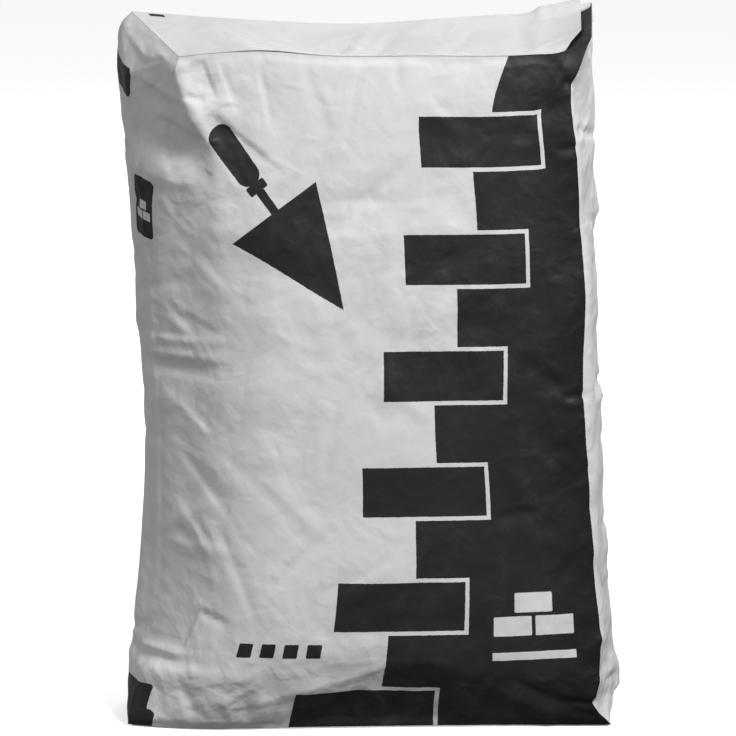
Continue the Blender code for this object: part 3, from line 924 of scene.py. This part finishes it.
class Value:
    """What a node gives. Arithmetic on it adds more nodes."""

    def __init__(self, graph, socket):
        self.graph = graph
        self.socket = socket

    def __add__(self, other):
        return self.graph.math("ADD", self, other)

    def __sub__(self, other):
        return self.graph.math("SUBTRACT", self, other)

    def __rsub__(self, other):
        return self.graph.math("SUBTRACT", other, self)

    def __mul__(self, other):
        return self.graph.math("MULTIPLY", self, other)

    def __truediv__(self, other):
        return self.graph.math("DIVIDE", self, other)

    def __pow__(self, other):
        return self.graph.math("POWER", self, other)

    def __abs__(self):
        return self.graph.math("ABSOLUTE", self)


class Graph:
    """The nodes of a material or of the world, with the inputs of its shader."""

    def __init__(self, owner, shader="Principled BSDF"):
        owner.use_nodes = True
        self.owner = owner
        self.tree = owner.node_tree
        self.shader = self.tree.nodes[shader].inputs
        self.count = 0

    def feed(self, sockets, values):
        for key, value in values.items():
            if isinstance(value, Value):
                self.tree.links.new(value.socket, sockets[key])
            else:
                sockets[key].default_value = value

    def finished(self, values):
        """Feeds the shader and gives the material or the world."""
        self.feed(self.shader, values)
        return self.owner

    def node(self, kind, inputs, output=0, **settings):
        """Adds a node, feeds its inputs and gives one of its outputs."""
        made = self.tree.nodes.new(kind)
        self.count += 1
        made.location = (-200 * (self.count // 12) - 200, -160 * (self.count % 12))
        for key, value in settings.items():
            setattr(made, key, value)
        self.feed(made.inputs, inputs)
        return Value(self, made.outputs[output])

    def math(self, operation, *values):
        return self.node("ShaderNodeMath", dict(enumerate(values)), operation=operation)

    def vector_math(self, operation, output, *values):
        inputs = dict(enumerate(values))
        return self.node("ShaderNodeVectorMath", inputs, output, operation=operation)

    def least(self, a, b):
        return self.math("MINIMUM", a, b)

    def most(self, first, *others):
        for other in others:
            first = self.math("MAXIMUM", first, other)
        return first

    def step(self, value, low, high):
        """0 below low and 1 above high."""
        inputs = {"Value": value, "From Min": low, "From Max": high}
        return self.node("ShaderNodeMapRange", inputs, interpolation_type="SMOOTHSTEP")

    def mix(self, share, a, b):
        inputs = {"Factor": share, "A": a, "B": b}
        return self.node("ShaderNodeMix", inputs, "Result", data_type="RGBA")

    def noise(self, where, scale, detail=2.0, roughness=0.5):
        inputs = {"Vector": where, "Scale": scale, "Detail": detail, "Roughness": roughness}
        return self.node("ShaderNodeTexNoise", inputs, "Fac")

    def flat_place(self):
        """The point's place on the flat paper, whole and as its two lengths."""
        flat = self.node("ShaderNodeUVMap", {}, uv_map="paper")
        return [flat] + [self.node("ShaderNodeSeparateXYZ", {0: flat}, axis) for axis in "XY"]

    def at_point(self, label):
        """One of the named values at the mesh's points."""
        return self.node("ShaderNodeAttribute", {}, "Fac", attribute_name=label)

    def creased(self, where, spacing, seed):
        """Flat strips between straight creases that come and go. All sizes are in mm."""
        rng = np.random.default_rng(seed)
        total = None
        for _ in range(5):
            way = rng.normal(size=3)
            way = way / np.linalg.norm(way) / MM
            across = self.vector_math("DOT_PRODUCT", "Value", where, way)
            moved = self.vector_math("ADD", "Vector", where, rng.uniform(1, 9, 3))
            bend = self.noise(moved, 0.4 / (spacing * MM), 0)
            strip = spacing * rng.uniform(0.35, 0.75)
            wave = self.math("PINGPONG", across + bend * (1.6 * spacing), strip)
            wave = wave * self.step(self.noise(moved, 0.7 / (spacing * MM), 0), 0.50, 0.64)
            total = wave if total is None else total + wave
        return total


def grey(value, warmth=0.0):
    return (value * (1 + warmth), value, value * (1 - warmth), 1.0)


def paper_look(graph, specular, paper, ink=None, painted_shade=0.0):
    """Paper's look: mottled tone, fibres, darker grooves, cockle and grain. Ink, if any, lies on
    top.
    """
    where = graph.node("ShaderNodeTexCoord", {}, "Object")
    crest = graph.at_point("crest")
    cloud = graph.noise(where, 14, 3, 0.55)
    stretched = graph.node("ShaderNodeMapping", {"Vector": where, "Scale": FIBRE_STRETCH})
    fibre = graph.noise(stretched, 900, 2, 0.6)
    tone = graph.mix(graph.step(cloud, 0.3, 0.7), grey(paper * 0.95, 0.008), grey(paper, 0.005))
    tone = graph.mix(graph.step(fibre, 0.52, 0.75) * 0.10, tone, grey(paper * 0.72, 0.02))
    # the paper is darker in the grooves of the relief
    tone = graph.mix(graph.step(crest, -0.1, -0.9) * 0.12, tone, grey(paper * 0.62, 0.03))
    roughness = ROUGHNESS
    if ink is not None:
        thick, thin = (grey(share, 0.01) for share in INK_TONES)
        ink_tone = graph.mix(graph.step(cloud, 0.25, 0.75), thick, thin)
        rubbed = graph.step(crest, 0.3, 1.0) * graph.step(fibre, 0.35, 0.7)
        ink_tone = graph.mix(rubbed * 0.25, ink_tone, grey(INK_RUBBED))
        # painted shade: the ink darkens towards the front right crease, where the face turns away
        # from the light
        ink_tone = graph.mix(painted_shade, ink_tone, grey(INK_PAINTED_SHADE, 0.01))
        tone = graph.mix(ink, tone, ink_tone)
        roughness = ink * -INK_SMOOTHER + ROUGHNESS

    cockle = graph.noise(where, 95, 3, 0.55) * 0.2
    fine = graph.noise(where, 1500, 2, 0.6) * 0.021 + fibre * 0.018
    folds = graph.creased(where, 17.0, 61) * 0.032 + graph.creased(where, 8.0, 62) * 0.014
    folds = folds * (graph.at_point("restless") * 0.6 + 0.5)
    inputs = {"Strength": 1.0, "Distance": MM, "Height": cockle + (folds + fine)}
    return graph.finished({
        "Base Color": tone, "Roughness": roughness, "Specular IOR Level": specular,
        "Normal": graph.node("ShaderNodeBump", inputs),
    })


def box_ink(graph, u, v, middle, half, corner=0):
    """Ink in a box on the flat paper."""
    out_u = abs(u - middle[0]) - (half[0] - corner)
    out_v = abs(v - middle[1]) - (half[1] - corner)
    outside = graph.most(out_u, out_v)
    if not corner:
        return graph.step(outside, EDGE, -EDGE)
    far = (graph.most(out_u, 0.0) ** 2 + graph.most(out_v, 0.0) ** 2) ** 0.5
    return graph.step(far + graph.least(outside, 0.0), corner + EDGE, corner - EDGE)


def toothed_wall(graph, u, v):
    """A field of ink whose left edge is toothed like the end of an unfinished brick wall.

    The bricks of every other course stand out by half, between pale joints.
    """
    level = (graph.least(v, TOP_MIDDLE) + WALL_SUNK) / COURSE
    course = graph.math("FLOOR", level)
    odd = graph.math("MODULO", course, 2.0)
    from_edge = u - (course * WALL_STEP + WALL_START)
    field = graph.step(from_edge - odd * (BRICK / 2), -EDGE, EDGE)
    in_course = level - course
    from_bed = graph.least(in_course, 1.0 - in_course) * COURSE
    from_joint = graph.least(from_bed, BRICK - from_edge)
    joint = graph.step(from_joint, JOINT + EDGE, JOINT - EDGE)
    joint = joint * graph.step(from_edge, BRICK + EDGE, BRICK - EDGE) * (1.0 - odd)
    return field * (1.0 - joint)


def trowel_ink(graph, u, v, middle, size):
    """A plain pictogram of a bricklayer's trowel."""
    cos, sin = np.cos(TROWEL_LEAN) / size, np.sin(TROWEL_LEAN) / size
    du, dv = u - middle[0], v - middle[1]
    x, y = du * cos + dv * sin, dv * cos - du * sin
    side = abs(x) * BLADE_SIDE[0] - (y - BLADE_POINT) * BLADE_SIDE[1]
    blade = graph.step(graph.most(side, y - BLADE_HEEL), EDGE, -EDGE)
    return graph.most(blade, *(box_ink(graph, x, y, *box) for box in TROWEL_BOXES))


def brick_stack(graph, u, v, middle, size):
    """A plain pictogram of three stacked bricks."""
    half = (STACK_BRICK[0] * size, STACK_BRICK[1] * size)
    places = [(middle[0] + dx * size, middle[1] + dy * size) for dx, dy in STACK_PLACES]
    return graph.most(*(box_ink(graph, u, v, at, half, STACK_CORNER * size) for at in places))


def printed_paper():
    """The sack's outer ply: pale paper with a generic building print in charcoal ink."""
    graph = Graph(bpy.data.materials.new("printed_paper"))
    flat, u, v = graph.flat_place()
    wobble = (graph.noise(flat, 260) - 0.5) * 0.0006
    u, v = u + wobble, v + wobble
    on_front = graph.step(u, FRONT_PAPER + 3 * EDGE, FRONT_PAPER + EDGE)
    ink = toothed_wall(graph, u, v) * on_front
    for mark in (brick_stack(graph, u, v, *PALE_STACK), box_ink(graph, u, v, *PALE_RULE)):
        ink = ink * (1.0 - mark)
    badge = box_ink(graph, u, v, *BADGE) * (1.0 - brick_stack(graph, u, v, *BADGE_STACK))
    ink = graph.most(
        ink, badge,
        *(trowel_ink(graph, u, v, *trowel) for trowel in TROWELS),
        *(brick_stack(graph, u, v, *stack) for stack in BACK_STACKS),
        *(box_ink(graph, u, v, *box) for box in INK_BOXES),
    )
    # painted shade on the ink towards the front right crease
    shade_by_crease = graph.step(u, PAINTED_SHADE_FROM, FRONT_PAPER) * on_front
    return paper_look(graph, PRINT_SPECULAR, PAPER_TONE, ink, shade_by_crease)


def plain_paper(name, tone, mark=None):
    graph = Graph(bpy.data.materials.new(name))
    ink = None
    if mark:
        _, u, v = graph.flat_place()
        ink = box_ink(graph, u, v, *mark)
    return paper_look(graph, PAPER_SPECULAR, tone, ink)


# The studio

def make_floor():
    """A wide pale floor. It throws no light back up, as with black flags round a product table."""
    reach = FLOOR_REACH
    points = [(-reach, -reach, 0), (reach, -reach, 0), (reach, reach, 0), (-reach, reach, 0)]
    mesh = bpy.data.meshes.new("floor")
    mesh.from_pydata(points, [], [(0, 1, 2, 3)])
    floor = linked("floor", mesh)
    floor.visible_diffuse = False
    floor.visible_glossy = False
    mesh.materials.append(Graph(bpy.data.materials.new("floor")).finished({
        "Base Color": (*FLOOR_PAINT, 1.0), "Roughness": 0.9, "Specular IOR Level": 0.0,
        "Emission Color": (1, 1, 1, 1), "Emission Strength": FLOOR_GLOW,
    }))


def make_lamp(name, location, width, watts):
    light = bpy.data.lights.new(name, "POINT")
    light.shadow_soft_size = width / 2
    light.energy = watts
    linked(name, light).location = location


def make_sky():
    """Soft light from all round, which the camera sees as a white wall."""
    graph = Graph(bpy.data.worlds.new("studio"), "Background")
    way = graph.node("ShaderNodeTexCoord", {}, "Generated")
    light = graph.vector_math("DOT_PRODUCT", "Value", way, SKY_LEAN) + SKY_STRENGTH
    seen = graph.node("ShaderNodeLightPath", {}, "Is Camera Ray")
    strength = graph.node("ShaderNodeMix", {"Factor": seen, "A": light, "B": WALL_TONE}, "Result")
    bpy.context.scene.world = graph.finished({"Color": (1, 1, 1, 1), "Strength": strength})


def make_studio():
    make_floor()
    make_lamp("key", *KEY)
    make_lamp("back_lamp", *BACK_LAMP)
    make_sky()
    bpy.context.scene.view_settings.view_transform = "Standard"

    data = bpy.data.cameras.new("camera")
    data.lens = CAMERA_LENS
    camera = linked("camera", data)
    azimuth, elevation, roll = np.radians((CAMERA_AZIMUTH, CAMERA_ELEVATION, CAMERA_ROLL))
    back = Vector((0, -np.cos(elevation), np.sin(elevation)))
    back.rotate(Matrix.Rotation(azimuth, 3, "Z"))
    turn = back.to_track_quat("Z", "Y").to_matrix().to_4x4() @ Matrix.Rotation(roll, 4, "Z")
    place = Vector(CAMERA_TARGET) + back * CAMERA_DISTANCE
    camera.matrix_world = Matrix.Translation(place) @ turn
    bpy.context.scene.camera = camera


def main():
    printed = printed_paper()
    cover = plain_paper("cover_paper", PAPER_TONE, COVER_MARK)
    valve = plain_paper("valve_paper", VALVE_TONE)
    grid, relief, restless, top = sack_form()
    sack = make_sack(grid, relief, restless, top, printed)
    cover_top = make_cover(top, cover)
    sleeve = make_sleeve(top, valve)
    for piece, node, slot in (
        (sack, "sack_body", "printed_paper"),
        (cover_top, "top_cover_sheet", "cover_paper"),
        (sleeve, "valve_sleeve", "valve_paper"),
    ):
        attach(piece, "root")
        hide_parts(node)
    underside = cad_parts["bottom_cover_sheet"]
    underside.data.materials.clear()
    underside.data.materials.append(cover)
    make_studio()


main()
bpy.context.view_layer.update()
